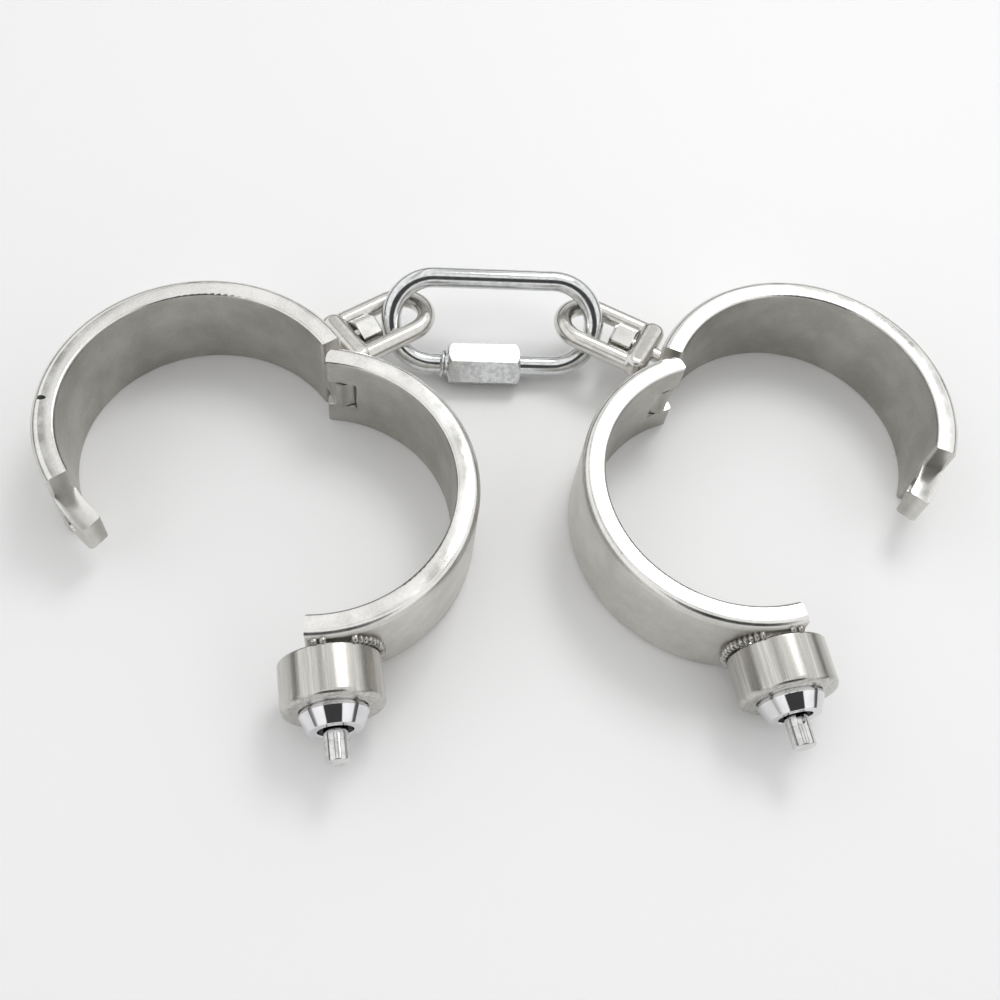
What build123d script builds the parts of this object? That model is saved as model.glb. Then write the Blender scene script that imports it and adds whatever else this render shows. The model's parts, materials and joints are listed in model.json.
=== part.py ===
from build123d import *
import math
import os

# Two hinged wrist cuffs joined by swivel bows and a screw-gate link. Millimetres and degrees, +Z up,
# lying open on a table at z = 0. The second cuff is the first one turned over.

# ---- cuff band ----
bore_radius = 30.0            # wrist opening of a closed cuff
band_wall = 5.2
band_height = 23.0
outer_rim_round = 1.8
inner_rim_round = 0.7
tongue_height = 8.4           # hinge knuckle and lock tongue, centred in the band's height
tongue_side_gap = 0.3         # room above and below a tongue in its slot
tongue_inset = 0.15           # tongue and knuckle are a little thinner than the band, each side
seam_gap = 0.25               # between the two halves where a closed cuff meets
seam_angle = 188.2            # from the hinge pin round the tongue half to the seam
seam_corner = 0.9

# ---- hinge ----
pin_radius = 1.6
pin_fit = 0.02                # held end of a pin, radial
running_fit = 0.06            # turning or sliding parts, radial
pin_cover = 1.4               # metal left over the blind end of the pin's hole
hinge_shoulder = 4.7          # along the band, from the pin to the tongue half's full-height end
ear_reach = 3.5               # the lock half's ears, past the pin
knuckle_reach = 2.9           # the tongue half's knuckle, past the pin
hinge_slot_depth = 3.7        # from the pin to the floor of the lock half's hinge slot
knuckle_corner = 1.2
ear_corner = 3.6
pin_chamfer = 0.2

# ---- lock tongue ----
tongue_reach = 9.6            # past the seam
tongue_tip_room = 0.8         # to the floor of the lock slot
tongue_corner = 0.9
bolt_radius = 1.9
bolt_hole_room = 0.3          # round the bolt in the tongue's hole

# ---- lock ----
lock_setback = 4.3            # along the band's mid line, from the seam to the lock's axis
housing_rim_room = 1.0        # housing's side below each of the band's rims
housing_stand_off = 0.6       # flat end above the crown of the band
housing_length = 10.6
housing_round = 1.2
housing_inner_round = 0.5
housing_floor = 2.4           # thickness of the end that the bolt comes through
chamber_radius = 5.6          # bored room behind the bezel
bezel_length = 4.1
bezel_base_radius = 7.0
bezel_tip_radius = 5.4
bezel_rim = 0.5               # straight rim at the foot of the cone
bezel_lift = 0.3              # gap between that rim and the housing
bezel_seat_radius = 6.5
bezel_seat_depth = 2.0        # pressed into the housing
bezel_mouth_radius = 3.6
bezel_edge_round = 0.3
barrel_recess = 2.2           # barrel's face below the bezel's mouth
plunger_radius = 2.45
plunger_out = 6.3             # stands out of the bezel, unlocked
plunger_travel = 5.5
plunger_groove_out = 2.2
plunger_groove_depth = 0.12
plunger_groove_width = 0.3
plunger_tip_round = 0.4
keyway_width = 1.8
keyway_out = 2.1              # how far the keyway runs past the bezel when unlocked
keyway_length = 7.0
keyway_depth = 1.1
bolt_clear = 0.5              # bolt's nose above the band's crown when unlocked
bolt_nose_chamfer = 0.4
bolt_collar_thickness = 0.8
collar_room = 0.1             # round the collar in the barrel
spring_wire = 0.5
spring_turns = 4
spring_room = 0.12            # round and between the spring and its neighbours
weld_radius = 1.1
weld_stand_out = 0.1          # bead's centre line outside the housing
weld_half_sweep = 62.0
weld_end_round = 0.5
tack_radius = 0.85
tack_pitch = 1.75             # from the seam and from each other
tack_overhang = 0.1           # tack's centre inside the housing's edge
tack_lift = 0.2               # and above the band's crown

# ---- swivel ----
stud_along = 9.957            # along the band's mid line, from the hinge pin to the stud
left_stud_pointing = 7.3      # each loose stud points this far round from its hinge pin
right_stud_pointing = 12.9
stud_radius = 1.75
stud_head_flats = 7.1         # its corners pass the bow's legs at every turn
stud_head_length = 5.4
stud_head_chamfer = 0.7
stud_head_gap = 0.2
rivet_radius = 2.9
rivet_depth = 1.4
bow_rod_radius = 2.2
bow_half_width = 6.4          # from the swivel axis to the centre of a leg
bow_length = 26.2             # from the base's inner face to the outside of the loop
bow_base_thickness = 5.6
bow_base_height = 5.4
bow_base_corner = 2.6
bow_base_round = 1.8
bow_base_gap = 2.0            # from the wall, measured on the swivel axis

# ---- link ----
link_rod_radius = 2.4
link_inner_length = 44.6
link_inner_width = 15.7
link_drop = 0.075             # link's middle below the swivels; a flat of its nut is on the table
link_centre = (-2.7, 49.25)
nut_flats = 9.4
nut_length = 17.3
nut_offset = -2.1             # nut's centre from the middle of the link
nut_chamfer = 0.8
nut_bore_gap = 0.1
thread_rise = 1.0             # thread's crest above the rod
thread_pitch = 1.3
thread_depth = 0.55
thread_shown = 2.0            # length of thread past the nut
gate_engagement = 2.4         # short stub inside the closed nut
gate_opening = 5.0            # clear gap in the rod under the nut
gate_thread_length = 6.5      # thread on the long stub

# ---- where each cuff lies ----
left_hinge = (-38.1, 29.5)
left_bearing = 25.7           # direction from the tongue half's centre to its hinge pin
left_opening = 55.7
left_bow_turn = -10.0         # each bow is turned on its stud, near leg up
right_hinge = (36.05, 29.5)
right_bearing = 164.5
right_opening = 50.5
right_bow_turn = 10.0

# ---- worked out ----
outer_radius = bore_radius + band_wall
mid_radius = bore_radius + band_wall / 2
mid_height = band_height / 2


def arc_degrees(length, radius=mid_radius):
    return math.degrees(length / radius)


seam_half = arc_degrees(seam_gap / 2)
stud_angle = arc_degrees(stud_along)
lock_angle = seam_angle + arc_degrees(lock_setback)
tongue_tip_angle = seam_angle + arc_degrees(tongue_reach)
slot_floor_angle = tongue_tip_angle + arc_degrees(tongue_tip_room)
slot_height = tongue_height + 2 * tongue_side_gap
housing_radius = mid_height - housing_rim_room
housing_face = housing_stand_off + housing_length
bezel_face = housing_face + bezel_length
barrel_face = bezel_face - barrel_recess
barrel_foot = housing_stand_off + housing_floor
bezel_foot = housing_face - bezel_seat_depth
spring_closed = (spring_turns + 1) * spring_wire
collar_foot = barrel_foot + spring_closed + plunger_travel
plunger_foot = collar_foot + bolt_collar_thickness
spring_radius = bolt_radius + running_fit + spring_room + spring_wire / 2
bolt_collar_radius = spring_radius + spring_wire
swivel_base_top = bow_base_gap + bow_base_thickness
link_length = link_inner_length + 2 * link_rod_radius    # centre line to centre line
link_width = link_inner_width + 2 * link_rod_radius
link_lift = mid_height - link_drop
link_tilt = math.degrees(math.asin((link_lift - nut_flats / 2) / (link_width / 2)))
thread_radius = link_rod_radius + thread_rise
nut_left = nut_offset - nut_length / 2
short_stub_end = nut_left + gate_engagement
long_stub_end = short_stub_end + gate_opening


# ---- planes ----
def band_plane(hinge, bearing, turned_over):
    """centre of a half band's lower rim, local x pointing at the hinge pin, local z along the band"""
    toward = Vector(math.cos(math.radians(bearing)), math.sin(math.radians(bearing)))
    centre = Vector(*hinge) - toward * mid_radius
    if turned_over:
        return Plane(origin=centre + Vector(0, 0, band_height), x_dir=toward, z_dir=(0, 0, -1))
    return Plane(origin=centre, x_dir=toward, z_dir=(0, 0, 1))


def outward(frame, angle):
    """unit vector that leaves the band's axis at this angle from the hinge pin"""
    turn = math.radians(angle)
    return frame.x_dir * math.cos(turn) + frame.y_dir * math.sin(turn)


def section_plane(frame):
    """upright plane through the band's axis and the hinge pin: local x outwards, local y up"""
    return Plane(origin=frame.origin, x_dir=frame.x_dir, z_dir=frame.x_dir.cross(frame.z_dir))


def facing_plane(frame, angle, direction_angle):
    """on the outer face at mid height: local z outwards, local y up, local x along the band"""
    origin = frame.origin + outward(frame, angle) * outer_radius + frame.z_dir * mid_height
    direction = outward(frame, direction_angle)
    return Plane(origin=origin, x_dir=frame.z_dir.cross(direction), z_dir=direction)


def swivel_plane(frame, pointing, turn):
    """facing plane of the swivel stud, turned about its own axis"""
    face = facing_plane(frame, stud_angle, pointing)
    across = face.x_dir.rotate(Axis((0, 0, 0), face.z_dir), turn)
    return Plane(origin=face.origin, x_dir=across, z_dir=face.z_dir)


def lengthwise_plane(face):
    """holds the axis that stands on a facing plane: local x along the band, local y outwards"""
    return Plane(origin=face.origin, x_dir=face.x_dir, z_dir=-face.y_dir)


def band_axis(frame):
    return Axis(frame.origin, frame.z_dir)


def outward_axis(face):
    return Axis(face.origin, face.z_dir)


def finish_node(builder, name):
    builder.part.label = name
    export_step(builder.part, "parts/" + name + ".step")


# ---- shared shapes ----
def ring_sector(inner, outer, start, stop, start_rounds, stop_rounds):
    """flat sector of a ring; rounds are (outer corner, inner corner)"""
    with BuildSketch() as sector:
        with BuildLine():
            outside = CenterArc((0, 0), outer, start, stop - start)
            inside = CenterArc((0, 0), inner, start, stop - start)
            Line(outside @ 0, inside @ 0)
            Line(outside @ 1, inside @ 1)
        make_face()
        for angle, rounds in ((start, start_rounds), (stop, stop_rounds)):
            for radius, size in zip((outer, inner), rounds):
                corner = Vector(radius, 0).rotate(Axis.Z, angle)
                fillet(sector.vertices().sort_by_distance(corner)[0], size)
    return sector.sketch


def rim_section():
    """the band's cross-section: x from its axis, y up"""
    with BuildSketch() as section:
        with Locations((mid_radius, mid_height)):
            Rectangle(band_wall, band_height)
        fillet(section.vertices().group_by(Axis.X)[-1], outer_rim_round)
        fillet(section.vertices().group_by(Axis.X)[0], inner_rim_round)
    return section.sketch


def pin_bore(radius):
    """upright hole for the hinge pin, open at the lower rim"""
    with BuildSketch() as bore:
        with Locations((mid_radius, 0)):
            Circle(radius)
    return bore.sketch


# ---- cuff ----
def make_tongue_half(name, frame, pointing, turn):
    """half band with the hinge knuckle at one end and the lock tongue at the other"""
    body = ring_sector(bore_radius, outer_radius, arc_degrees(hinge_shoulder), seam_angle - seam_half,
                       (seam_corner, seam_corner), (seam_corner, seam_corner))
    bar = ring_sector(bore_radius + tongue_inset, outer_radius - tongue_inset,
                      -arc_degrees(knuckle_reach), tongue_tip_angle,
                      (knuckle_corner, knuckle_corner), (tongue_corner, tongue_corner))
    bolt_face = facing_plane(frame, lock_angle, lock_angle)
    swivel = swivel_plane(frame, pointing, turn)
    with BuildPart() as half:
        with BuildSketch(frame):
            add(body)
        extrude(amount=band_height)
        with BuildSketch(section_plane(frame)):
            add(rim_section())
        revolve(axis=band_axis(frame), mode=Mode.INTERSECT)
        with BuildSketch(frame.offset(mid_height - tongue_height / 2)):
            add(bar)
        extrude(amount=tongue_height)
        with BuildSketch(frame):
            add(pin_bore(pin_radius + running_fit))
        extrude(amount=band_height, mode=Mode.SUBTRACT)
        with BuildSketch(bolt_face.offset(band_wall)):
            Circle(bolt_radius + bolt_hole_room)
        extrude(amount=-3 * band_wall, mode=Mode.SUBTRACT)
        with BuildSketch(lengthwise_plane(swivel)):
            add(stud_outline(pin_fit))
        revolve(axis=outward_axis(swivel), mode=Mode.SUBTRACT)
    finish_node(half, name)


def make_lock_half(name, frame):
    """half band with the hinge ears at one end and the lock slot at the other"""
    seam = seam_angle + seam_half - 360
    ear_end = arc_degrees(ear_reach)
    body = ring_sector(bore_radius, outer_radius, seam, ear_end,
                       (seam_corner, seam_corner), (ear_corner, seam_corner))
    lock_slot = ring_sector(bore_radius - band_wall, outer_radius + band_wall, seam - 5,
                            slot_floor_angle - 360, (0.1, 0.1), (0.1, 0.1))
    with BuildPart() as half:
        with BuildSketch(frame):
            add(body)
        extrude(amount=band_height)
        with BuildSketch(section_plane(frame)):
            add(rim_section())
        revolve(axis=band_axis(frame), mode=Mode.INTERSECT)
        with BuildSketch(frame.offset(mid_height - slot_height / 2)):
            with Locations((mid_radius, -hinge_slot_depth)):
                Rectangle(3 * band_wall, hinge_slot_depth + 2 * ear_reach, align=(Align.CENTER, Align.MIN))
        extrude(amount=slot_height, mode=Mode.SUBTRACT)
        with BuildSketch(frame.offset(mid_height - slot_height / 2)):
            add(lock_slot)
        extrude(amount=slot_height, mode=Mode.SUBTRACT)
        with BuildSketch(frame):
            add(pin_bore(pin_radius + pin_fit))
        extrude(amount=band_height - pin_cover, mode=Mode.SUBTRACT)
    finish_node(half, name)


def make_hinge_pin(name, frame):
    """pressed in from the lower rim of the lock half and ground flush"""
    with BuildPart() as pin:
        with BuildSketch(frame):
            add(pin_bore(pin_radius))
        extrude(amount=band_height - pin_cover - pin_fit)
        chamfer(pin.faces().sort_by(band_axis(frame))[-1].edges(), pin_chamfer)
    finish_node(pin, name)


# ---- swivel ----
def stud_outline(room):
    """half profile of the stud's shank and riveted inner end: x from its axis, y outwards"""
    inner_end = -1.6 * band_wall
    rivet_top = -band_wall + rivet_depth
    reach = swivel_base_top + stud_head_gap
    with BuildSketch() as outline:
        with BuildLine():
            Polyline((0, inner_end), (rivet_radius + room, inner_end), (rivet_radius + room, -band_wall),
                     (stud_radius + room, rivet_top), (stud_radius + room, reach), (0, reach), close=True)
        make_face()
    return outline.sketch


def make_swivel_stud(name, frame, pointing, turn):
    """riveted flush inside the band; its hexagon head keeps the bow on"""
    swivel = swivel_plane(frame, pointing, turn)
    reach = swivel_base_top + stud_head_gap
    with BuildPart() as stud:
        with BuildSketch(lengthwise_plane(swivel)):
            add(stud_outline(0))
        revolve(axis=outward_axis(swivel))
        with BuildSketch(swivel.offset(reach)):
            RegularPolygon(stud_head_flats / 2, 6, major_radius=False, rotation=30)
        extrude(amount=stud_head_length)
        top = stud.faces().sort_by(outward_axis(swivel))[-1]
        chamfer(top.edges(), stud_head_chamfer)
        with BuildSketch(frame):
            Circle(bore_radius + pin_fit)
        extrude(amount=band_height, mode=Mode.SUBTRACT)
    finish_node(stud, name)


def make_swivel_bow(name, frame, pointing, turn):
    """forged loop that turns on the stud and carries the link"""
    swivel = swivel_plane(frame, pointing, turn)
    side = lengthwise_plane(swivel)
    base_middle = bow_base_gap + bow_base_thickness / 2
    leg_end = bow_base_gap + bow_length - bow_rod_radius - bow_half_width
    base_half = bow_half_width + bow_rod_radius
    with BuildPart() as bow:
        with BuildSketch(side.offset(-bow_base_height / 2)):
            with Locations((0, base_middle)):
                RectangleRounded(2 * base_half, bow_base_thickness, bow_base_corner)
        extrude(amount=bow_base_height)
        fillet(bow.faces().filter_by(side).edges(), bow_base_round)
        with BuildLine(side) as path:
            near = Line((-bow_half_width, base_middle), (-bow_half_width, leg_end))
            far = Line((bow_half_width, leg_end), (bow_half_width, base_middle))
            ThreePointArc(near @ 1, (0, leg_end + bow_half_width), far @ 0)
        with BuildSketch(Plane(origin=near @ 0, z_dir=near % 0)):
            Circle(bow_rod_radius)
        sweep(path=path.wire())
        with BuildSketch(swivel):
            Circle(stud_radius + running_fit)
        extrude(amount=2 * swivel_base_top, mode=Mode.SUBTRACT)
    finish_node(bow, name)


# ---- lock ----
def make_lock_housing(name, frame):
    """turned barrel that stands on the band: bored from the front, with a bolt hole through its floor"""
    face = facing_plane(frame, lock_angle - 360, lock_angle - 360)
    with BuildPart() as housing:
        with BuildSketch(face.offset(housing_stand_off)):
            Circle(housing_radius)
        extrude(amount=housing_length)
        ends = housing.faces().filter_by(face).sort_by(outward_axis(face))
        fillet(ends[-1].edges(), housing_round)
        fillet(ends[0].edges(), housing_inner_round)
        with BuildSketch(face.offset(barrel_foot)):
            Circle(chamber_radius)
        extrude(amount=housing_length, mode=Mode.SUBTRACT)
        with BuildSketch(face):
            Circle(bolt_radius + running_fit)
        extrude(amount=housing_length, mode=Mode.SUBTRACT)
        with BuildSketch(face.offset(housing_face - bezel_seat_depth)):
            Circle(bezel_seat_radius + pin_fit)
        extrude(amount=housing_length, mode=Mode.SUBTRACT)
    finish_node(housing, name)


def make_lock_bezel(name, frame):
    """polished cone round the plunger, pressed into the housing"""
    face = facing_plane(frame, lock_angle - 360, lock_angle - 360)
    rim_foot = housing_face + bezel_lift
    with BuildPart() as bezel:
        with BuildSketch(lengthwise_plane(face)) as outline:
            with BuildLine():
                Polyline((bezel_mouth_radius, bezel_foot), (bezel_seat_radius, bezel_foot),
                         (bezel_seat_radius, rim_foot), (bezel_base_radius, rim_foot),
                         (bezel_base_radius, rim_foot + bezel_rim),
                         (bezel_tip_radius, bezel_face), (bezel_mouth_radius, bezel_face), close=True)
            make_face()
            fillet(outline.vertices().group_by(Axis.Y)[-1], bezel_edge_round)
        revolve(axis=outward_axis(face))
    finish_node(bezel, name)


def make_lock_barrel(name, frame):
    """sleeve inside the housing: guides the plunger and houses the spring"""
    face = facing_plane(frame, lock_angle - 360, lock_angle - 360)
    foot = barrel_foot + pin_fit
    shoulder = bezel_foot - pin_fit
    ceiling = plunger_foot + pin_fit
    wide = chamber_radius - pin_fit
    neck = bezel_mouth_radius - pin_fit
    bore = plunger_radius + running_fit
    room = bolt_collar_radius + collar_room
    with BuildPart() as barrel:
        with BuildSketch(lengthwise_plane(face)):
            with BuildLine():
                Polyline((room, foot), (wide, foot), (wide, shoulder), (neck, shoulder), (neck, barrel_face),
                         (bore, barrel_face), (bore, ceiling), (room, ceiling), close=True)
            make_face()
        revolve(axis=outward_axis(face))
    finish_node(barrel, name)


def make_plunger(name, frame):
    """push button: pressed in to lock, sprung out again"""
    face = facing_plane(frame, lock_angle - 360, lock_angle - 360)
    tip = bezel_face + plunger_out
    with BuildPart() as plunger:
        with BuildSketch(face.offset(plunger_foot)):
            Circle(plunger_radius)
        extrude(amount=tip - plunger_foot)
        fillet(plunger.faces().sort_by(outward_axis(face))[-1].edges(), plunger_tip_round)
        with BuildSketch(face.offset(bezel_face + plunger_groove_out)):
            Circle(2 * plunger_radius)
            Circle(plunger_radius - plunger_groove_depth, mode=Mode.SUBTRACT)
        extrude(amount=plunger_groove_width, mode=Mode.SUBTRACT)
        with BuildSketch(lengthwise_plane(face).offset(plunger_radius - keyway_depth)):
            with Locations((0, bezel_face + keyway_out - keyway_length / 2)):
                SlotOverall(keyway_length, keyway_width, rotation=90)
        extrude(amount=plunger_radius, mode=Mode.SUBTRACT)
    finish_node(plunger, name)


def make_lock_bolt(name, frame):
    """nose that enters the tongue, with the collar that the spring lifts"""
    face = facing_plane(frame, lock_angle - 360, lock_angle - 360)
    with BuildPart() as bolt:
        with BuildSketch(face.offset(bolt_clear)):
            Circle(bolt_radius)
        extrude(amount=collar_foot - bolt_clear)
        chamfer(bolt.faces().sort_by(outward_axis(face))[0].edges(), bolt_nose_chamfer)
        with BuildSketch(face.offset(collar_foot)):
            Circle(bolt_collar_radius)
        extrude(amount=bolt_collar_thickness)
    finish_node(bolt, name)


def make_bolt_spring(name, frame):
    """coil under the bolt's collar that pushes the plunger out"""
    face = facing_plane(frame, lock_angle - 360, lock_angle - 360)
    end_room = spring_wire / 2 + spring_room
    length = collar_foot - barrel_foot - 2 * end_room
    with BuildPart() as spring:
        with BuildLine() as coil:
            Helix(pitch=length / spring_turns, height=length, radius=spring_radius,
                  center=face.offset(barrel_foot + end_room).origin, direction=face.z_dir)
        with BuildSketch(Plane(origin=coil.line @ 0, z_dir=coil.line % 0)):
            Circle(spring_wire / 2)
        sweep(path=coil.wire(), is_frenet=True)
    finish_node(spring, name)


def make_weld_bead(name, frame):
    """fillet weld in the gap between the housing's foot and the curved band"""
    face = facing_plane(frame, lock_angle - 360, lock_angle - 360)
    run_radius = housing_radius + weld_stand_out
    run = []
    for turn in (-weld_half_sweep, 0, weld_half_sweep):
        point = Vector(run_radius, 0).rotate(Axis.Z, turn)
        band_drop = outer_radius - math.sqrt(outer_radius ** 2 - point.X ** 2)
        run.append(face.from_local_coords((point.X, point.Y, (housing_stand_off - band_drop) / 2)))
    with BuildPart() as bead:
        with BuildLine() as path:
            ThreePointArc(*run)
        with BuildSketch(Plane(origin=path.line @ 0, z_dir=path.line % 0)):
            Circle(weld_radius)
        sweep(path=path.wire())
        fillet(bead.faces().filter_by(GeomType.PLANE).edges(), weld_end_round)
    finish_node(bead, name)


def make_weld_tacks(name, frame):
    """short tacks between the housing and the band's end, above and below"""
    face = facing_plane(frame, lock_angle - 360, lock_angle - 360)
    with BuildPart() as tacks:
        for step in (1, 2):
            along = step * tack_pitch - lock_setback
            across = math.sqrt(housing_radius ** 2 - along ** 2) - tack_overhang
            with Locations(face.offset(tack_lift)):
                with Locations((along, across), (along, -across)):
                    Sphere(tack_radius)
    finish_node(tacks, name)


# ---- link ----
def link_plane():
    """middle of the link: local x along it, local y across it to the raised far side"""
    tilt = math.radians(link_tilt)
    normal = (0, -math.sin(tilt), math.cos(tilt))
    return Plane(origin=(*link_centre, link_lift), x_dir=(1, 0, 0), z_dir=normal)


def make_link_rod(name):
    """bent rod, open under its nut, with a threaded stub each side of the gap"""
    plane = link_plane()
    side = link_width / 2
    straight = (link_length - link_width) / 2
    gate = Axis(plane.from_local_coords((0, -side, 0)), plane.x_dir)
    thread_end = long_stub_end + gate_thread_length
    with BuildPart() as rod:
        with BuildLine(plane) as path:
            right = Line((long_stub_end, -side), (straight, -side))
            right_bend = ThreePointArc(right @ 1, (straight + side, 0), (straight, side))
            far = Line((straight, side), (-straight, side))
            left_bend = ThreePointArc((-straight, side), (-straight - side, 0), (-straight, -side))
            Line((-straight, -side), (short_stub_end, -side))
        with BuildSketch(Plane(origin=path.line @ 0, z_dir=path.line % 0)):
            Circle(link_rod_radius)
        sweep(path=path.wire())
        for start, stop in ((nut_left - thread_shown, short_stub_end), (long_stub_end, thread_end)):
            with BuildSketch(plane):
                add(thread_profile(start, stop, -side))
            revolve(axis=gate)
    finish_node(rod, name)


def thread_profile(start, stop, axis_height):
    """half section of a threaded length, drawn as rings: x along the rod, y from its axis"""
    turns = round((stop - start) / thread_pitch)
    pitch = (stop - start) / turns
    root = thread_radius - thread_depth
    points = [(start, axis_height), (start, axis_height + root)]
    for turn in range(turns):
        crest = start + (turn + 0.5) * pitch
        points.append((crest - pitch / 5, axis_height + thread_radius))
        points.append((crest + pitch / 5, axis_height + thread_radius))
        points.append((crest + pitch / 2, axis_height + root))
    points.append((stop, axis_height))
    with BuildSketch() as profile:
        with BuildLine():
            Polyline(*points, close=True)
        make_face()
    return profile.sketch


def make_link_nut(name):
    """hexagon sleeve that closes the link"""
    plane = link_plane()
    start = plane.from_local_coords((nut_left, -link_width / 2, 0))
    upright = Plane(origin=start, x_dir=(0, 0, 1), z_dir=(1, 0, 0))
    corner = nut_flats / math.sqrt(3)
    with BuildPart() as nut:
        with BuildSketch(upright):
            RegularPolygon(nut_flats / 2, 6, major_radius=False, rotation=30)
        extrude(amount=nut_length)
        with BuildSketch(Plane(origin=start, x_dir=(1, 0, 0), z_dir=(0, -1, 0))):
            with BuildLine():
                Polyline((0, 0), (0, corner - nut_chamfer), (nut_chamfer, corner),
                         (nut_length - nut_chamfer, corner), (nut_length, corner - nut_chamfer),
                         (nut_length, 0), close=True)
            make_face()
        revolve(axis=Axis(start, (1, 0, 0)), mode=Mode.INTERSECT)
        with BuildSketch(upright):
            Circle(thread_radius + nut_bore_gap)
        extrude(amount=nut_length, mode=Mode.SUBTRACT)
    finish_node(nut, name)


# ---- build ----
def make_cuff(side, hinge, bearing, opening, pointing, turn, turned_over):
    """all the pieces of one cuff; opening is counted in the cuff's own sense of turn"""
    tongue_frame = band_plane(hinge, bearing, turned_over)
    swing = -opening if turned_over else opening
    lock_frame = band_plane(hinge, bearing + swing, turned_over)
    make_tongue_half(side + "_tongue_half", tongue_frame, pointing, turn)
    make_swivel_stud(side + "_swivel_stud", tongue_frame, pointing, turn)
    make_swivel_bow(side + "_swivel_bow", tongue_frame, pointing, turn)
    make_lock_half(side + "_lock_half", lock_frame)
    make_hinge_pin(side + "_hinge_pin", lock_frame)
    make_lock_housing(side + "_lock_housing", lock_frame)
    make_lock_bezel(side + "_lock_bezel", lock_frame)
    make_lock_barrel(side + "_lock_barrel", lock_frame)
    make_plunger(side + "_plunger", lock_frame)
    make_lock_bolt(side + "_lock_bolt", lock_frame)
    make_bolt_spring(side + "_bolt_spring", lock_frame)
    make_weld_bead(side + "_weld_bead", lock_frame)
    make_weld_tacks(side + "_weld_tacks", lock_frame)


os.makedirs("parts", exist_ok=True)
make_cuff("left", left_hinge, left_bearing, left_opening, left_stud_pointing, left_bow_turn, False)
make_cuff("right", right_hinge, right_bearing, right_opening, right_stud_pointing, right_bow_turn, True)
make_link_rod("link_rod")
make_link_nut("link_nut")
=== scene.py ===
# Hinged handcuffs lying open on a pale table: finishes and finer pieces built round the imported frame.
import bpy
import json
import math
from mathutils import Matrix, Vector


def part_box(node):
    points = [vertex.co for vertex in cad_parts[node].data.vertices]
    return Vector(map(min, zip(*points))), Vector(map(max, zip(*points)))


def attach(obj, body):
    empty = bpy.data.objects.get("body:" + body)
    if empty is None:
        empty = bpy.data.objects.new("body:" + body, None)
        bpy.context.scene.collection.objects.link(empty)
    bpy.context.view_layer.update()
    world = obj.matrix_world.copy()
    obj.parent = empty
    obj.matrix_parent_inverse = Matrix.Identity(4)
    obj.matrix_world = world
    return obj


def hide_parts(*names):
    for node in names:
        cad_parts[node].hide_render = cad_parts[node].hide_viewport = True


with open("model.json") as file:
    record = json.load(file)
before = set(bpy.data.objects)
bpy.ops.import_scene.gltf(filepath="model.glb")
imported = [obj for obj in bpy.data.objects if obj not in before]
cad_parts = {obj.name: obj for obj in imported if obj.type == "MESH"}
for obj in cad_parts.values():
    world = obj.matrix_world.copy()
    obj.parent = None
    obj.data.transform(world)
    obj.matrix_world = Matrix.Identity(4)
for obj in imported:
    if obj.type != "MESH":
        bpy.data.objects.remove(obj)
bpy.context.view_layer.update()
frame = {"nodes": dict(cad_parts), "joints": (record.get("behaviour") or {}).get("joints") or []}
joints = {joint["name"]: joint for joint in frame["joints"]}
sides = ("left", "right")


# small helpers
def mm(size):  # lengths below are in millimetres, the scene is in metres
    return size / 1000


def perMetre(size):  # texture scale that gives features about this many millimetres wide
    return 1000 / size


def linear(hexColour):  # sRGB hex to the linear colour that shaders take
    channels = [int(hexColour[at:at + 2], 16) / 255 for at in (1, 3, 5)]
    return [c / 12.92 if c <= 0.04045 else ((c + 0.055) / 1.055) ** 2.4 for c in channels] + [1]


def addNode(tree, kind, inputs=(), **settings):  # one node with its settings, values and incoming links
    node = tree.nodes.new(kind)
    for name, value in settings.items():
        setattr(node, name, value)
    for key, value in dict(inputs).items():
        if isinstance(value, bpy.types.NodeSocket):
            tree.links.new(value, node.inputs[key])
        else:
            node.inputs[key].default_value = value
    return node


def ramped(tree, value, start, stop):  # 0 to 1 between two values, eased
    node = addNode(tree, "ShaderNodeMapRange", {
        "Value": value,
        "From Min": start,
        "From Max": stop,
    }, interpolation_type="SMOOTHSTEP")
    return node.outputs[0]


def calculated(tree, operation, first, second=0.0):
    return addNode(tree, "ShaderNodeMath", {0: first, 1: second}, operation=operation).outputs[0]


def mixedColour(tree, share, first, second):
    node = addNode(tree, "ShaderNodeMix", {0: share, 6: first, 7: second}, data_type="RGBA")
    return node.outputs[2]


def spread(tree, value, start, stop, low, high):  # carries one range of values over to another
    node = addNode(tree, "ShaderNodeMapRange", {
        "Value": value,
        "From Min": start,
        "From Max": stop,
        "To Min": low,
        "To Max": high,
    })
    return node.outputs[0]


def bumped(tree, height, depth, strength=1.0, under=None):  # depth in millimetres, on top of another bump
    node = addNode(tree, "ShaderNodeBump", {"Strength": strength, "Distance": mm(depth), "Height": height})
    if under:
        tree.links.new(under, node.inputs["Normal"])
    return node.outputs[0]


def finishShader(tree, shader, tone, rough, normal):
    for name, value in (("Base Color", tone), ("Roughness", rough), ("Normal", normal)):
        tree.links.new(value, shader.inputs[name])


def noise(tree, vector, size, detail, roughness=0.5):
    node = addNode(tree, "ShaderNodeTexNoise", {
        "Vector": vector,
        "Scale": perMetre(size),
        "Detail": detail,
        "Roughness": roughness,
    })
    return node.outputs["Fac"]


def newMetal(name):  # bare metal: Principled with metallic 1 and the default IOR
    material = bpy.data.materials.new(name)
    material.use_nodes = True
    tree = material.node_tree
    tree.nodes.clear()
    shader = addNode(tree, "ShaderNodeBsdfPrincipled", {"Metallic": 1.0})
    addNode(tree, "ShaderNodeOutputMaterial", {"Surface": shader.outputs["BSDF"]})
    return material, tree, shader


def boxCentre(node):
    low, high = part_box(node)
    return (low + high) / 2


def lockAxis(side):  # points out of the lock, along its plunger
    return -Vector(joints[side + "_button_slide"]["axis"])


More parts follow.
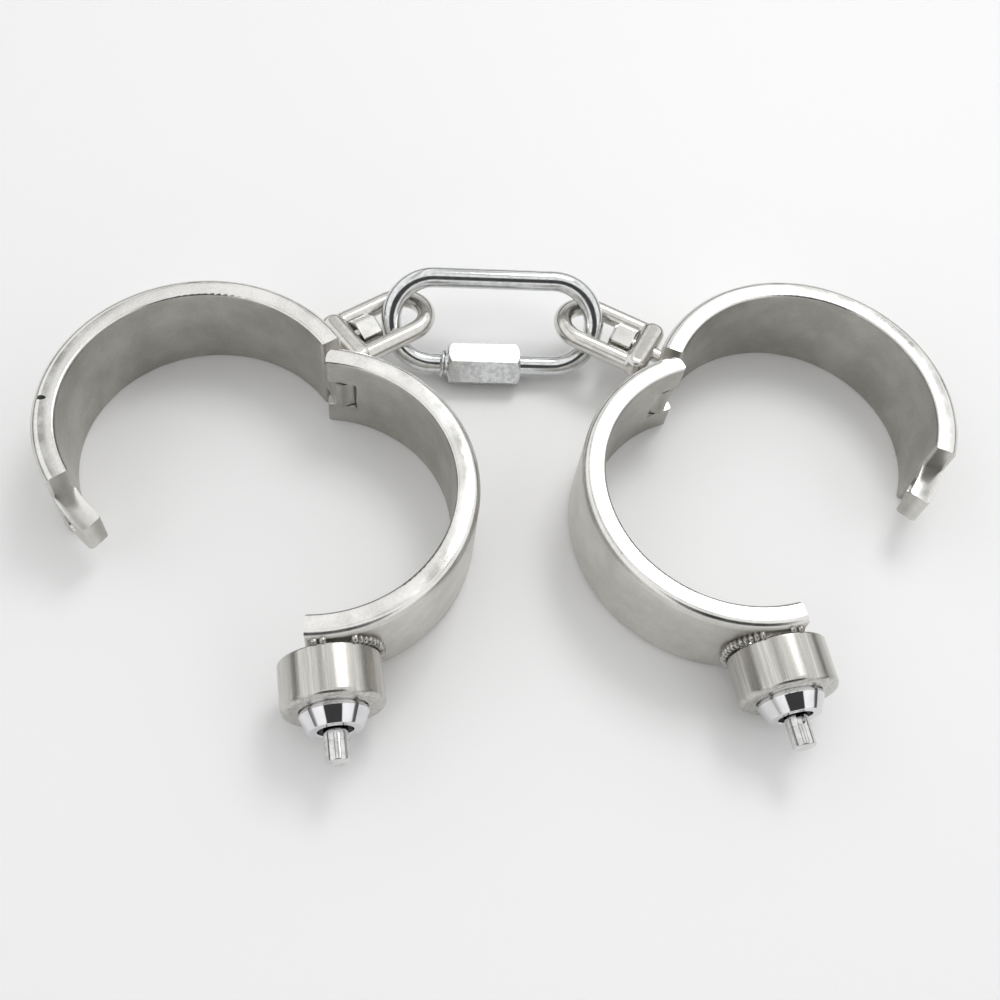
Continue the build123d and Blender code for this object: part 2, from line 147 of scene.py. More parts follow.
# cuff bands: stainless steel, blasted walls and hand-polished rims; the bore's walls take a darker copy of
# the wall colour as painted shade
bandLook = {
    # painted shade: the bore's walls get this darker copy of the outer walls' colour
    "boreShadeColours": ("#a9a7a1", "#bfbdb7"),
    "outerColours": ("#cbc9c3", "#dddbd6"),
    "rimColours": ("#d6d5d1", "#ecebe8"),
    "wallRoughness": (0.34, 0.46),
    "rimRoughness": (0.13, 0.27),
    "rimTurn": (0.45, 0.85),      # share of upward facing where wall turns into rim
    "wallTurn": 1.0,              # either side of the middle, where the bore's painted shade turns into the outer walls' own tone
    "boreRadius": 30.0,
    "midRadius": 32.6,
    "halfWall": 2.6,
    "crown": 0.17,                # hand polishing leaves the flat rim a little domed
    "grain": 0.4,                 # blasting grit is 0.1 mm: drawn coarser so that it shows
    "grainDepth": 0.03,
    "cloud": 9,                   # slow patches of handling
    "polishWave": 6,
    "polishDepth": 0.03,
    "scratch": 0.3,
    "scratchStretch": (0.06, 0.06, 1.0),
    "scratchRange": (0.3, 0.7),
    "cloudRange": (0.35, 0.65),
    "speckShare": 0.45,           # how far the grain breaks up the patches
    "patchRange": (0.5, 0.95),
    "rimSmoothness": 0.85,        # how much of the grain polishing takes off
    "crownPower": 2.5,
    "rivetBlend": (1.2, 2.0),     # past the bore, where the ground-flush rivet turns into the stud
}
halfCentres = {                   # each half band's axis, as the cuffs lie
    "left_tongue_half": (-67.475, 15.363),
    "left_lock_half": (-42.975, -2.733),
    "right_tongue_half": (67.464, 20.788),
    "right_lock_half": (49.31, -0.282),
}
castingPitWithShade = {
    "place": (-100.7, 16.4, 23.0),
    "size": (0.95, 0.55),
    "edge": (1.1, 0.75),          # where it starts and is full, as shares of its size
    "depth": 0.5,
    # the pit is a real mark; its darkness and near-black colour are painted shade inside the hollow
    "darkness": 0.93,
    "colour": "#171513",
}


def radiusFrom(tree, place, centre):  # distance from an upright axis, in millimetres
    offset = addNode(tree, "ShaderNodeVectorMath", {
        0: place,
        1: (mm(centre[0]), mm(centre[1]), 0),
    }, operation="SUBTRACT")
    level = addNode(tree, "ShaderNodeVectorMath", {
        0: offset.outputs[0],
        1: (1000, 1000, 0),
    }, operation="MULTIPLY")
    length = addNode(tree, "ShaderNodeVectorMath", {0: level.outputs[0]}, operation="LENGTH")
    return length.outputs["Value"]


def pitShare(tree, place):  # one small casting pit in a rim: its dent, and the painted shade drawn in it
    offset = addNode(tree, "ShaderNodeVectorMath", {
        0: place,
        1: [mm(c) for c in castingPitWithShade["place"]],
    }, operation="SUBTRACT")
    squashed = addNode(tree, "ShaderNodeVectorMath", {
        0: offset.outputs[0],
        1: (1000 / castingPitWithShade["size"][0], 1000 / castingPitWithShade["size"][1], 0),
    }, operation="MULTIPLY")
    distance = addNode(tree, "ShaderNodeVectorMath", {0: squashed.outputs[0]}, operation="LENGTH")
    return ramped(tree, distance.outputs["Value"], *castingPitWithShade["edge"])


def bandSteel(name, centre, kind):  # kind is "half" for a band, "stud" for the rivet that is blasted with it
    material, tree, shader = newMetal(name)
    source = addNode(tree, "ShaderNodeTexCoord")
    place = source.outputs["Object"]
    radius = radiusFrom(tree, place, centre)
    facing = addNode(tree, "ShaderNodeSeparateXYZ", {"Vector": source.outputs["Normal"]})
    upward = calculated(tree, "ABSOLUTE", facing.outputs["Z"])
    rim = ramped(tree, upward, *bandLook["rimTurn"])
    if kind == "stud":
        reach = [bandLook["boreRadius"] + past for past in bandLook["rivetBlend"]]
        rim = ramped(tree, radius, *reach)
    # below the middle radius the wall tone is painted shade for the bore, the stud's rivet end included
    turnAt = [bandLook["midRadius"] + way * bandLook["wallTurn"] for way in (-1, 1)]
    outer = ramped(tree, radius, *turnAt)
    cloud = noise(tree, place, bandLook["cloud"], 5.0, 0.6)
    speck = noise(tree, place, bandLook["grain"], 3.0, 0.65)
    lengthwise = addNode(tree, "ShaderNodeMapping", {"Vector": place, "Scale": bandLook["scratchStretch"]})
    scratch = noise(tree, lengthwise.outputs[0], bandLook["scratch"], 2.0)
    broken = calculated(tree, "ADD", cloud, calculated(tree, "MULTIPLY", speck, bandLook["speckShare"]))
    patch = ramped(tree, broken, *bandLook["patchRange"])
    # the bore's walls are drawn darker than the outer walls: painted shade, not a different finish
    inside = mixedColour(tree, patch, *[linear(c) for c in bandLook["boreShadeColours"]])
    outside = mixedColour(tree, patch, *[linear(c) for c in bandLook["outerColours"]])
    polished = mixedColour(tree, patch, *[linear(c) for c in bandLook["rimColours"]])
    tone = mixedColour(tree, rim, mixedColour(tree, outer, inside, outside), polished)
    wallRough = spread(tree, scratch, *bandLook["scratchRange"], *bandLook["wallRoughness"])
    rimRough = spread(tree, cloud, *bandLook["cloudRange"], *bandLook["rimRoughness"])
    rough = addNode(tree, "ShaderNodeMix", {0: rim, 2: wallRough, 3: rimRough})
    kept = calculated(tree, "SUBTRACT", 1.0, calculated(tree, "MULTIPLY", rim, bandLook["rimSmoothness"]))
    normal = bumped(tree, speck, bandLook["grainDepth"], kept)
    waves = noise(tree, place, bandLook["polishWave"], 1.0)
    normal = bumped(tree, waves, bandLook["polishDepth"], under=normal)
    if kind == "half":
        fromMiddle = calculated(tree, "SUBTRACT", radius, bandLook["midRadius"])
        fromMiddle = calculated(tree, "DIVIDE", fromMiddle, bandLook["halfWall"])
        dome = calculated(tree, "POWER", calculated(tree, "ABSOLUTE", fromMiddle), bandLook["crownPower"])
        normal = bumped(tree, dome, -bandLook["crown"], rim, normal)
        upper = calculated(tree, "GREATER_THAN", facing.outputs["Z"], 0.5)
        pit = calculated(tree, "MULTIPLY", pitShare(tree, place), upper)
        # painted shade in the pit's hollow
        dark = calculated(tree, "MULTIPLY", pit, castingPitWithShade["darkness"])
        tone = mixedColour(tree, dark, tone, linear(castingPitWithShade["colour"]))
        normal = bumped(tree, pit, -castingPitWithShade["depth"], under=normal)
    finishShader(tree, shader, tone, rough.outputs[0], normal)
    return material


# lock housings: turned stainless, brushed along the lock's axis
housingLook = {
    "colour": "#d6d4cf",
    "dark": "#b3b1ab",
    "roughness": (0.17, 0.30),
    "lineWidth": 0.16,            # brushing lines, drawn a little coarser than 240 grit leaves them
    "bandWidth": 0.96,            # and the broader streaks that they gather into
    "lineStretch": 0.03,
    "lineDepth": 0.006,
    "lineRange": (0.12, 0.4),
}


def brushedHousing(side):
    material, tree, shader = newMetal("StainlessTurnedBrushed" + side.capitalize())
    centre = boxCentre(side + "_lock_housing")
    axis = lockAxis(side)
    turn = math.atan2(axis.y, axis.x)
    place = addNode(tree, "ShaderNodeTexCoord")
    centred = addNode(tree, "ShaderNodeVectorMath", {
        0: place.outputs["Object"],
        1: centre,
    }, operation="SUBTRACT")
    turned = addNode(tree, "ShaderNodeVectorRotate", {
        "Vector": centred.outputs[0],
        "Axis": (0, 0, 1),
        "Angle": -turn,
    })
    drawn = addNode(tree, "ShaderNodeVectorMath", {
        0: turned.outputs[0],
        1: (housingLook["lineStretch"], 1, 1),
    }, operation="MULTIPLY")
    lines = noise(tree, drawn.outputs[0], housingLook["lineWidth"], 3.0, 0.6)
    bands = noise(tree, drawn.outputs[0], housingLook["bandWidth"], 2.0)
    mixed = calculated(tree, "MULTIPLY", lines, bands)
    share = spread(tree, mixed, *housingLook["lineRange"], 0.0, 1.0)
    tone = mixedColour(tree, share, linear(housingLook["dark"]), linear(housingLook["colour"]))
    rough = spread(tree, share, 0.0, 1.0, *reversed(housingLook["roughness"]))
    normal = bumped(tree, lines, housingLook["lineDepth"])
    finishShader(tree, shader, tone, rough, normal)
    return material


# plain turned, plated and as-welded metals, one recipe with its own numbers for each
metalLooks = {
    "ChromeMirror": {             # bezel cone: mirror chrome, faint turning lines under the plate
        "colours": ("#e9e9ec", "#dededf"), "roughness": (0.03, 0.07), "patch": 5, "depth": 0.004,
    },
    "ChromePlunger": {            # plunger: bright turned steel, a little duller than the bezel
        "colours": ("#dededc", "#c4c4c4"), "roughness": (0.07, 0.16), "patch": 2, "depth": 0.004,
    },
    "SteelBarrelPaintedShade": {          # barrel face in the bezel's mouth: turned steel drawn dark as painted shade in the recess
        "colours": ("#5c5b5a", "#3a3a3a"), "roughness": (0.25, 0.4), "patch": 1.5, "depth": 0.01,
    },
    "StainlessTumbled": {         # bows: tumbled stainless, softly bright with small dull patches
        "colours": ("#d9d7d2", "#cfcdc8"), "roughness": (0.17, 0.24), "patch": 2.0, "depth": 0.006,
    },
    "SteelGround": {              # bolts: ground steel, grey with a short sheen
        "colours": ("#b5b4b0", "#94938f"), "roughness": (0.25, 0.4), "patch": 0.8, "depth": 0.01,
    },
    "SpringWire": {               # spring: drawn wire, smooth and cool
        "colours": ("#a8a8aa", "#8b8b8e"), "roughness": (0.2, 0.3), "patch": 1.0, "depth": 0.005,
    },
    "WeldMetal": {                # welds: as laid, bright crests and duller grey hollows
        "colours": ("#c2c0bb", "#8b8882"), "roughness": (0.2, 0.4), "patch": 0.9, "depth": 0.03,
    },
    "ZincBright": {               # link rod: bright zinc plate over bent rod, long soft reflections
        "colours": ("#e3e4e4", "#d3d5d6"), "roughness": (0.14, 0.22), "patch": 1.2, "depth": 0.01,
    },
    "ZincMottled": {              # gate nut: zinc plate over a rougher bar, mottled
        "colours": ("#e6e7e7", "#d0d2d3"), "roughness": (0.24, 0.38), "patch": 1.3, "depth": 0.015,
    },
}
patchEdges = (0.38, 0.66)         # of the noise, where a patch starts and is full


def patchedMetal(name):
    look = metalLooks[name]
    material, tree, shader = newMetal(name)
    place = addNode(tree, "ShaderNodeTexCoord")
    patches = noise(tree, place.outputs["Object"], look["patch"], 5.0, 0.6)
    share = ramped(tree, patches, *patchEdges)
    tone = mixedColour(tree, share, *[linear(c) for c in look["colours"]])
    rough = spread(tree, share, 0.0, 1.0, *look["roughness"])
    finishShader(tree, shader, tone, rough, bumped(tree, patches, look["depth"]))
    return material


metals = {name: patchedMetal(name) for name in metalLooks}
print("materials made")


# CAD nodes that keep their shape
keptNodes = {
    "lock_bezel": metals["ChromeMirror"],
    # the barrel's dark colour is painted shade in the bezel's mouth
    "lock_barrel": metals["SteelBarrelPaintedShade"],
    "plunger": metals["ChromePlunger"],
    "lock_bolt": metals["SteelGround"],
    "bolt_spring": metals["SpringWire"],
}


def setMaterial(piece, material):
    if not piece.material_slots:
        piece.data.materials.append(material)
    for slot in piece.material_slots:
        slot.material = material


for side in sides:
    for part, material in keptNodes.items():
        setMaterial(frame["nodes"][side + "_" + part], material)
    setMaterial(frame["nodes"][side + "_lock_housing"], brushedHousing(side))
    bandMetals = {}
    for half in ("tongue_half", "lock_half"):
        node = side + "_" + half
        bandMetals[half] = bandSteel("StainlessBlastedWallPolishedRim" + node, halfCentres[node], "half")
        setMaterial(frame["nodes"][node], bandMetals[half])
    setMaterial(frame["nodes"][side + "_hinge_pin"], bandMetals["lock_half"])
    studMetal = bandSteel("StainlessStudBlastedRivetBoreShade" + side, halfCentres[side + "_tongue_half"], "stud")
    setMaterial(frame["nodes"][side + "_swivel_stud"], studMetal)
setMaterial(frame["nodes"]["link_nut"], metals["ZincMottled"])
print("packed pieces finished")


# finishing a built piece
def finishPiece(piece, material, body, nodes):
    setMaterial(piece, material)
    for face in piece.data.polygons:
        face.use_smooth = True
    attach(piece, body)
    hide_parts(*nodes)


def evaluatedCopy(piece, name):  # plain mesh of what the modifiers make, with the modifiers gone
    graph = bpy.context.evaluated_depsgraph_get()
    mesh = bpy.data.meshes.new_from_object(piece.evaluated_get(graph))
    result = bpy.data.objects.new(name, mesh)
    bpy.context.scene.collection.objects.link(result)
    bpy.data.objects.remove(piece)
    return result


# swivel bows: the forging's edges run softly into each other
bowShape = {
    "mergeWithin": 0.001,
    "voxel": 0.2,
    "smoothSteps": 7,
    "smoothShare": 0.5,
}


def makeBow(side):
    node = side + "_swivel_bow"
    copy = bpy.data.objects.new(side + "BowDraft", frame["nodes"][node].data.copy())
    bpy.context.scene.collection.objects.link(copy)
    weld = copy.modifiers.new("merge", "WELD")
    weld.merge_threshold = mm(bowShape["mergeWithin"])
    remesh = copy.modifiers.new("skin", "REMESH")
    remesh.mode = "VOXEL"
    remesh.voxel_size = mm(bowShape["voxel"])
    smooth = copy.modifiers.new("soften", "SMOOTH")
    smooth.factor = bowShape["smoothShare"]
    smooth.iterations = bowShape["smoothSteps"]
    bow = evaluatedCopy(copy, side + "Bow")
    finishPiece(bow, metals["StainlessTumbled"], side + "_bow", [node])


for side in sides:
    makeBow(side)
print("swivel bows made")


# link: bent rod, helical thread and where they lie
linkShape = {
    "rodRadius": 2.4,
    "rodSides": 40,
    "bendSteps": 24,
    "threadRadius": 3.4,
    "threadRoot": 2.85,
    "threadPitch": 1.3,
    "threadWire": 0.42,           # radius of the rounded ridge
    "turnSteps": 48,
    "ridgeSides": 12,
    "shortThread": (-2.0, 4.4),   # start from the nut's left end, and length
    "longThread": (7.4, 6.5),
    "shortStub": 2.4,             # rod inside the nut's left end
    "longStub": 9.9,              # and inside its right end
}
nutLow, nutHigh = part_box("link_nut")
rodLow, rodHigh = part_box("link_rod")
gateCentre = (nutLow + nutHigh) / 2
rodRadius = mm(linkShape["rodRadius"])
farLine = Vector((0, rodHigh.y - rodRadius, rodHigh.z - rodRadius))
across = farLine - Vector((0, gateCentre.y, gateCentre.z))
linkWidth = across.length
acrossUnit = across.normalized()
linkMiddle = Vector(((rodLow.x + rodHigh.x) / 2, gateCentre.y, gateCentre.z)) + across / 2
straightHalf = (rodHigh.x - rodLow.x) / 2 - rodRadius - linkWidth / 2


def linkPoint(along, side):  # point in the link's own plane
    return linkMiddle + Vector((1, 0, 0)) * along + acrossUnit * side


def rodRoute():  # from inside the nut's right end round to inside its left end
    bendSteps = linkShape["bendSteps"]
    bend = linkWidth / 2
    route = [linkPoint(nutHigh.x - linkMiddle.x - mm(linkShape["longStub"]), -bend)]
    for end in (1, -1):
        for step in range(bendSteps + 1):
            angle = math.pi * step / bendSteps - math.pi / 2
            along = straightHalf + bend * math.cos(angle)
            route.append(linkPoint(end * along, end * bend * math.sin(angle)))
    route.append(linkPoint(nutLow.x - linkMiddle.x + mm(linkShape["shortStub"]), -bend))
    return route


def tubeAlong(name, route, radius, resolution):
    curve = bpy.data.curves.new(name, "CURVE")
    curve.dimensions = "3D"
    curve.bevel_depth = radius
    curve.bevel_resolution = resolution
    curve.use_fill_caps = True
    spline = curve.splines.new("POLY")
    spline.points.add(len(route) - 1)
    for point, place in zip(spline.points, route):
        point.co = (*place, 1)
    draft = bpy.data.objects.new(name + "Draft", curve)
    bpy.context.scene.collection.objects.link(draft)
    return evaluatedCopy(draft, name)


linkRod = tubeAlong("linkRod", rodRoute(), rodRadius, linkShape["rodSides"] // 4)
finishPiece(linkRod, metals["ZincBright"], "link", ["link_rod"])
print("link rod made")


# Geometry Nodes: a tree with named inputs, its result turned into a plain mesh
def newTree(name, sizes):
    tree = bpy.data.node_groups.new(name, "GeometryNodeTree")
    tree.interface.new_socket("Geometry", in_out="INPUT", socket_type="NodeSocketGeometry")
    for title, kind in sizes.items():
        tree.interface.new_socket(title, in_out="INPUT", socket_type=kind)
    tree.interface.new_socket("Geometry", in_out="OUTPUT", socket_type="NodeSocketGeometry")
    return tree, addNode(tree, "NodeGroupInput")


def endTree(tree, geometry, material):  # every tree ends in real geometry with its material
    real = addNode(tree, "GeometryNodeRealizeInstances", {"Geometry": geometry})
    smooth = addNode(tree, "GeometryNodeSetShadeSmooth", {"Geometry": real.outputs[0]})
    painted = addNode(tree, "GeometryNodeSetMaterial", {"Geometry": smooth.outputs[0], "Material": material})
    addNode(tree, "NodeGroupOutput", {"Geometry": painted.outputs[0]})


def runTree(tree, name, mesh, values):
    draft = bpy.data.objects.new(name + "Draft", mesh)
    bpy.context.scene.collection.objects.link(draft)
    modifier = draft.modifiers.new(name, "NODES")
    modifier.node_group = tree
    sockets = {item.name: item.identifier for item in tree.interface.items_tree if item.in_out == "INPUT"}
    for title, value in values.items():
        modifier[sockets[title]] = value
    return evaluatedCopy(draft, name)


def pathMesh(name, points):
    mesh = bpy.data.meshes.new(name)
    mesh.from_pydata([tuple(p) for p in points], [(i, i + 1) for i in range(len(points) - 1)], [])
    return mesh


# gate thread: a rounded ridge wound round its core
def threadTree():
    tree, group = newTree("GateThread", {
        "Length": "NodeSocketFloat",
        "Turns": "NodeSocketFloat",
        "Coil Radius": "NodeSocketFloat",
        "Core Radius": "NodeSocketFloat",
        "Ridge Radius": "NodeSocketFloat",
    })
    coil = addNode(tree, "GeometryNodeCurveSpiral", {
        "Resolution": linkShape["turnSteps"],
        "Rotations": group.outputs["Turns"],
        "Start Radius": group.outputs["Coil Radius"],
        "End Radius": group.outputs["Coil Radius"],
        "Height": group.outputs["Length"],
    })
    ridge = addNode(tree, "GeometryNodeCurvePrimitiveCircle", {
        "Resolution": linkShape["ridgeSides"],
        "Radius": group.outputs["Ridge Radius"],
    })
    wound = addNode(tree, "GeometryNodeCurveToMesh", {
        "Curve": coil.outputs[0],
        "Profile Curve": ridge.outputs["Curve"],
        "Fill Caps": True,
    })
    core = addNode(tree, "GeometryNodeMeshCylinder", {
        "Vertices": linkShape["turnSteps"],
        "Radius": group.outputs["Core Radius"],
        "Depth": group.outputs["Length"],
    })
    half = calculated(tree, "MULTIPLY", group.outputs["Length"], 0.5)
    lift = addNode(tree, "ShaderNodeCombineXYZ", {"Z": half})
    raised = addNode(tree, "GeometryNodeTransform", {
        "Geometry": core.outputs["Mesh"],
        "Translation": lift.outputs[0],
    })
    both = addNode(tree, "GeometryNodeJoinGeometry")
    tree.links.new(raised.outputs[0], both.inputs[0])
    tree.links.new(wound.outputs[0], both.inputs[0])
    laid = addNode(tree, "GeometryNodeInstanceOnPoints", {
        "Points": group.outputs["Geometry"],
        "Instance": both.outputs[0],
        "Rotation": (0, math.pi / 2, 0),
    })
    endTree(tree, laid.outputs[0], metals["ZincBright"])
    return tree


def makeThread(tree, name, start, length):
    point = gateCentre.copy()
    point.x = nutLow.x + mm(start)
    thread = runTree(tree, name, pathMesh(name + "Start", [point]), {
        "Length": mm(length),
        "Turns": (length - 2 * linkShape["threadWire"]) / linkShape["threadPitch"],
        "Coil Radius": mm(linkShape["threadRadius"] - linkShape["threadWire"]),
        "Core Radius": mm(linkShape["threadRoot"]),
        "Ridge Radius": mm(linkShape["threadWire"]),
    })
    finishPiece(thread, metals["ZincBright"], "link", ["link_rod"])


gateThread = threadTree()
makeThread(gateThread, "gateThreadShort", *linkShape["shortThread"])
makeThread(gateThread, "gateThreadLong", *linkShape["longThread"])
print("gate threads made")


# welds: overlapping ripples along a path
weldShape = {
    "beadRadius": 1.1,
    "rippleCount": 19,
    "rippleThickness": 0.72,      # along the run, as a share of the bead's radius
    "halfSweep": 60,              # degrees that the bead runs either way round the housing
    "runSteps": 36,
    "dropSegments": 24,
    "dropRings": 14,
    "standOut": 0.1,
    "jitter": 0.12,
    "tackRadius": 0.85,
    "tackPlaces": (-2.55, -0.8),  # along the band from the lock's axis
    "tackOverhang": 0.1,
    "tackLift": 0.2,
    "bandRadius": 35.2,
    "housingRadius": 10.5,
    "standOff": 0.6,
    "axisToFoot": 5.9,            # from the housing's middle to the band's crown
}


def rippleTree():
    tree, group = newTree("WeldRipples", {
        "Ripple Count": "NodeSocketInt",
        "Bead Radius": "NodeSocketFloat",
        "Ripple Thickness": "NodeSocketFloat",
        "Jitter": "NodeSocketFloat",
        "Seed": "NodeSocketInt",
    })
    run = addNode(tree, "GeometryNodeMeshToCurve", {"Mesh": group.outputs["Geometry"]})
    points = addNode(tree, "GeometryNodeCurveToPoints", {
        "Curve": run.outputs[0],
        "Count": group.outputs["Ripple Count"],
    }, mode="COUNT")
    drop = addNode(tree, "GeometryNodeMeshUVSphere", {
        "Segments": weldShape["dropSegments"],
        "Rings": weldShape["dropRings"],
        "Radius": group.outputs["Bead Radius"],
    })
    flat = addNode(tree, "ShaderNodeCombineXYZ", {
        "X": 1.0,
        "Y": 1.0,
        "Z": group.outputs["Ripple Thickness"],
    })
    wobble = addNode(tree, "FunctionNodeRandomValue", {
        2: calculated(tree, "SUBTRACT", 1.0, group.outputs["Jitter"]),
        3: 1.0,
        "Seed": group.outputs["Seed"],
    }, data_type="FLOAT")
    size = addNode(tree, "ShaderNodeVectorMath", {
        0: flat.outputs[0],
        "Scale": wobble.outputs[1],
    }, operation="SCALE")
    placed = addNode(tree, "GeometryNodeInstanceOnPoints", {
        "Points": points.outputs["Points"],
        "Instance": drop.outputs["Mesh"],
        "Rotation": points.outputs["Rotation"],
        "Scale": size.outputs[0],
    })
    endTree(tree, placed.outputs[0], metals["WeldMetal"])
    return tree


def lockPoint(side, along, upward, outward):  # millimetres from the band's crown under the lock
    axis = lockAxis(side)
    foot = boxCentre(side + "_lock_housing") - axis * mm(weldShape["axisToFoot"])
    sideways = Vector((0, 0, 1)).cross(axis) * (1 if side == "left" else -1)
    return foot + sideways * mm(along) + Vector((0, 0, 1)) * mm(upward) + axis * mm(outward)


def beadRoute(side):
    steps = weldShape["runSteps"]
    reach = weldShape["housingRadius"] + weldShape["standOut"]
    route = []
    for step in range(steps + 1):
        turn = math.radians(weldShape["halfSweep"]) * (2 * step / steps - 1)
        along = reach * math.cos(turn)
        drop = weldShape["bandRadius"] - math.sqrt(weldShape["bandRadius"] ** 2 - along ** 2)
        outward = (weldShape["standOff"] - drop) / 2  # halfway between the band and the housing's foot
        route.append(lockPoint(side, along, reach * math.sin(turn), outward))
    return route


def tackMesh(side):  # a pair of tacks above and a pair below
    points = []
    for half in (1, -1):
        for along in weldShape["tackPlaces"]:
            up = math.sqrt(weldShape["housingRadius"] ** 2 - along ** 2) - weldShape["tackOverhang"]
            points.append(lockPoint(side, along, half * up, weldShape["tackLift"]))
    mesh = bpy.data.meshes.new(side + "TackRoute")
    mesh.from_pydata([tuple(p) for p in points], [(0, 1), (2, 3)], [])
    return mesh


def makeWelds(tree, side, seed):
    bead = runTree(tree, side + "WeldBead", pathMesh(side + "BeadRoute", beadRoute(side)), {
        "Ripple Count": weldShape["rippleCount"],
        "Bead Radius": mm(weldShape["beadRadius"]),
        "Ripple Thickness": weldShape["rippleThickness"],
        "Jitter": weldShape["jitter"],
        "Seed": seed,
    })
    finishPiece(bead, metals["WeldMetal"], side + "_lock", [side + "_weld_bead"])
    tacks = runTree(tree, side + "WeldTacks", tackMesh(side), {
        "Ripple Count": len(weldShape["tackPlaces"]),
        "Bead Radius": mm(weldShape["tackRadius"]),
        "Ripple Thickness": 1.0,
        "Jitter": weldShape["jitter"],
        "Seed": seed,
    })
    finishPiece(tacks, metals["WeldMetal"], side + "_lock", [side + "_weld_tacks"])


weldRipples = rippleTree()
for seed, side in enumerate(sides, 3):
    makeWelds(weldRipples, side, seed)
print("welds made")


# table, light and camera
tableLook = {"halfSide": 3.0, "colour": "#f4f4f4", "roughness": 0.45}  # side in metres


def makeTable():
    mesh = bpy.data.meshes.new("table")
    half = tableLook["halfSide"]
    corners = [(-half, -half, 0), (half, -half, 0), (half, half, 0), (-half, half, 0)]
    mesh.from_pydata(corners, [], [(0, 1, 2, 3)])
    table = bpy.data.objects.new("table", mesh)
    bpy.context.scene.collection.objects.link(table)
    material, tree, shader = newMetal("PaleTablePaper")
    shader.inputs["Metallic"].default_value = 0.0
    shader.inputs["Base Color"].default_value = linear(tableLook["colour"])
    shader.inputs["Roughness"].default_value = tableLook["roughness"]
    setMaterial(table, material)


lightPlan = {
    "worldStrength": 1.1,
    "overhead": {"place": (0.2, 0.36, 0.62), "size": 0.26, "power": 1.2},
}


def makeLight(name):
    plan = lightPlan[name]
    lamp = bpy.data.lights.new(name, "AREA")
    lamp.size = plan["size"]
    lamp.energy = plan["power"]
    holder = bpy.data.objects.new(name, lamp)
    holder.location = plan["place"]
    holder.rotation_mode = "QUATERNION"
    holder.rotation_quaternion = (-Vector(plan["place"])).to_track_quat("-Z", "Y")
    bpy.context.scene.collection.objects.link(holder)


tentPlan = {
    "levels": ((0.0, 0.55), (0.3, 0.9), (0.6, 1.0), (1.0, 0.92)),  # height, brightness
    "gapReach": (0.3, 0.17),      # the gap's soft upper edge
    "gapFront": (-0.75, -0.35),   # and where it ends towards the viewer
    "gapDarkness": 0.86,
    "seams": ((-0.4, 0.1, 0.8), (0.1, 0.13, 0.5), (0.6, 0.09, 0.75)),  # side slope, width, darkness
    "seamCore": 0.3,              # share of a seam's width that is fully dark
    "seamReach": (-0.1, 0.15),    # they run across the far roof only
    "viewerMiddle": 0.05,
    "viewerHalfWidth": 0.5,
    "viewerCore": 0.85,
    "viewerReach": (-0.36, -0.42),
    "viewerFoot": (0.35, 0.45),
    "viewerDarkness": 0.97,
    "darkest": 0.02,
}


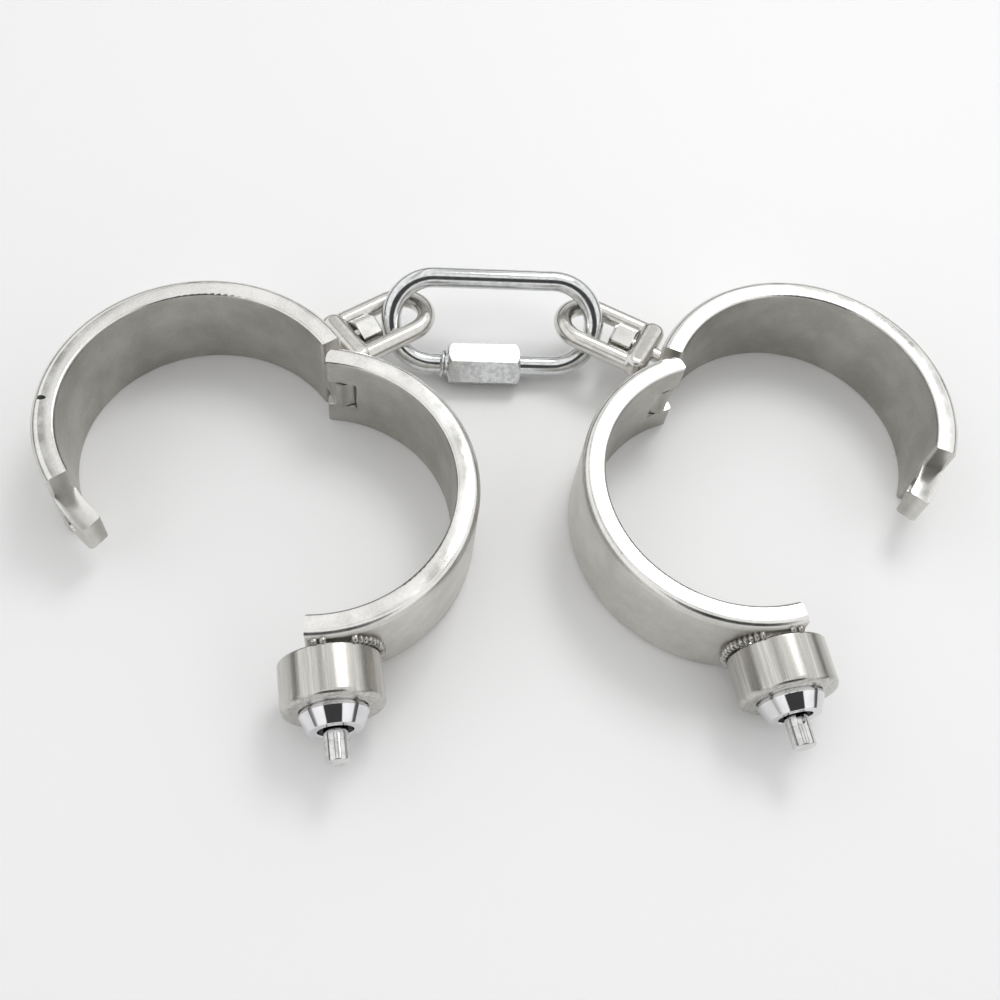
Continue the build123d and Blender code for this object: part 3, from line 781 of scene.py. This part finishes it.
def makeWorld():  # white tent: dim gap low down, seams across the far roof, the viewer's dark shape in front
    world = bpy.data.worlds.new("tent")
    world.use_nodes = True
    tree = world.node_tree
    tree.nodes.clear()
    place = addNode(tree, "ShaderNodeTexCoord")
    way = addNode(tree, "ShaderNodeSeparateXYZ", {"Vector": place.outputs["Generated"]})
    ramp = addNode(tree, "ShaderNodeValToRGB", {"Fac": way.outputs["Z"]})
    while len(ramp.color_ramp.elements) < len(tentPlan["levels"]):
        ramp.color_ramp.elements.new(0.5)
    for element, (position, level) in zip(ramp.color_ramp.elements, tentPlan["levels"]):
        element.position = position
        element.color = (level, level, level, 1)
    height = calculated(tree, "MAXIMUM", way.outputs["Z"], 0.05)  # never divides by nothing
    slope = calculated(tree, "DIVIDE", way.outputs["X"], height)
    farRoof = ramped(tree, way.outputs["Y"], *tentPlan["seamReach"])
    gap = calculated(tree, "MULTIPLY", ramped(tree, way.outputs["Z"], *tentPlan["gapReach"]),
                     ramped(tree, way.outputs["Y"], *tentPlan["gapFront"]))
    beside = calculated(tree, "ABSOLUTE", calculated(
        tree, "SUBTRACT", way.outputs["X"], tentPlan["viewerMiddle"]))
    halfWidth = tentPlan["viewerHalfWidth"]
    viewer = calculated(tree, "MULTIPLY",
                        ramped(tree, beside, halfWidth, halfWidth * tentPlan["viewerCore"]),
                        ramped(tree, way.outputs["Y"], *tentPlan["viewerReach"]))
    viewer = calculated(tree, "MULTIPLY", viewer, ramped(tree, way.outputs["Z"], *tentPlan["viewerFoot"]))
    dark = calculated(tree, "MAXIMUM", calculated(tree, "MULTIPLY", gap, tentPlan["gapDarkness"]),
                      calculated(tree, "MULTIPLY", viewer, tentPlan["viewerDarkness"]))
    for middle, width, darkness in tentPlan["seams"]:
        away = calculated(tree, "ABSOLUTE", calculated(tree, "SUBTRACT", slope, middle))
        seam = ramped(tree, away, width, width * tentPlan["seamCore"])
        seam = calculated(tree, "MULTIPLY", seam, darkness)
        dark = calculated(tree, "MAXIMUM", dark, calculated(tree, "MULTIPLY", seam, farRoof))
    darkest = (*[tentPlan["darkest"]] * 3, 1)
    tent = mixedColour(tree, dark, ramp.outputs["Color"], darkest)
    seen = addNode(tree, "ShaderNodeLightPath")
    tone = mixedColour(tree, seen.outputs["Is Camera Ray"], tent, (1, 1, 1, 1))
    glow = addNode(tree, "ShaderNodeBackground", {"Color": tone, "Strength": lightPlan["worldStrength"]})
    addNode(tree, "ShaderNodeOutputWorld", {"Surface": glow.outputs[0]})
    bpy.context.scene.world = world


cameraPlan = {
    "place": (-26.4, -121.5, 227.4),
    "aim": (-1.4, 6.2, 0),
    "roll": 10.57,
    "lens": 40.45,
    "sensor": 36,
    "nearest": 0.01,              # metres
}


def makeCamera():
    data = bpy.data.cameras.new("camera")
    data.lens = cameraPlan["lens"]
    data.sensor_width = cameraPlan["sensor"]
    data.clip_start = cameraPlan["nearest"]
    camera = bpy.data.objects.new("camera", data)
    bpy.context.scene.collection.objects.link(camera)
    place = Vector([mm(c) for c in cameraPlan["place"]])
    forward = (Vector([mm(c) for c in cameraPlan["aim"]]) - place).normalized()
    level = forward.cross(Vector((0, 0, 1))).normalized()
    roll = math.radians(cameraPlan["roll"])
    right = level * math.cos(roll) + level.cross(forward) * math.sin(roll)
    up = right.cross(forward)
    turn = Matrix((right, up, -forward)).transposed().to_4x4()
    camera.matrix_world = Matrix.Translation(place) @ turn
    bpy.context.scene.camera = camera


makeTable()
makeLight("overhead")
makeWorld()
makeCamera()
bpy.context.scene.view_settings.view_transform = "Standard"
print("table, lights and camera set")
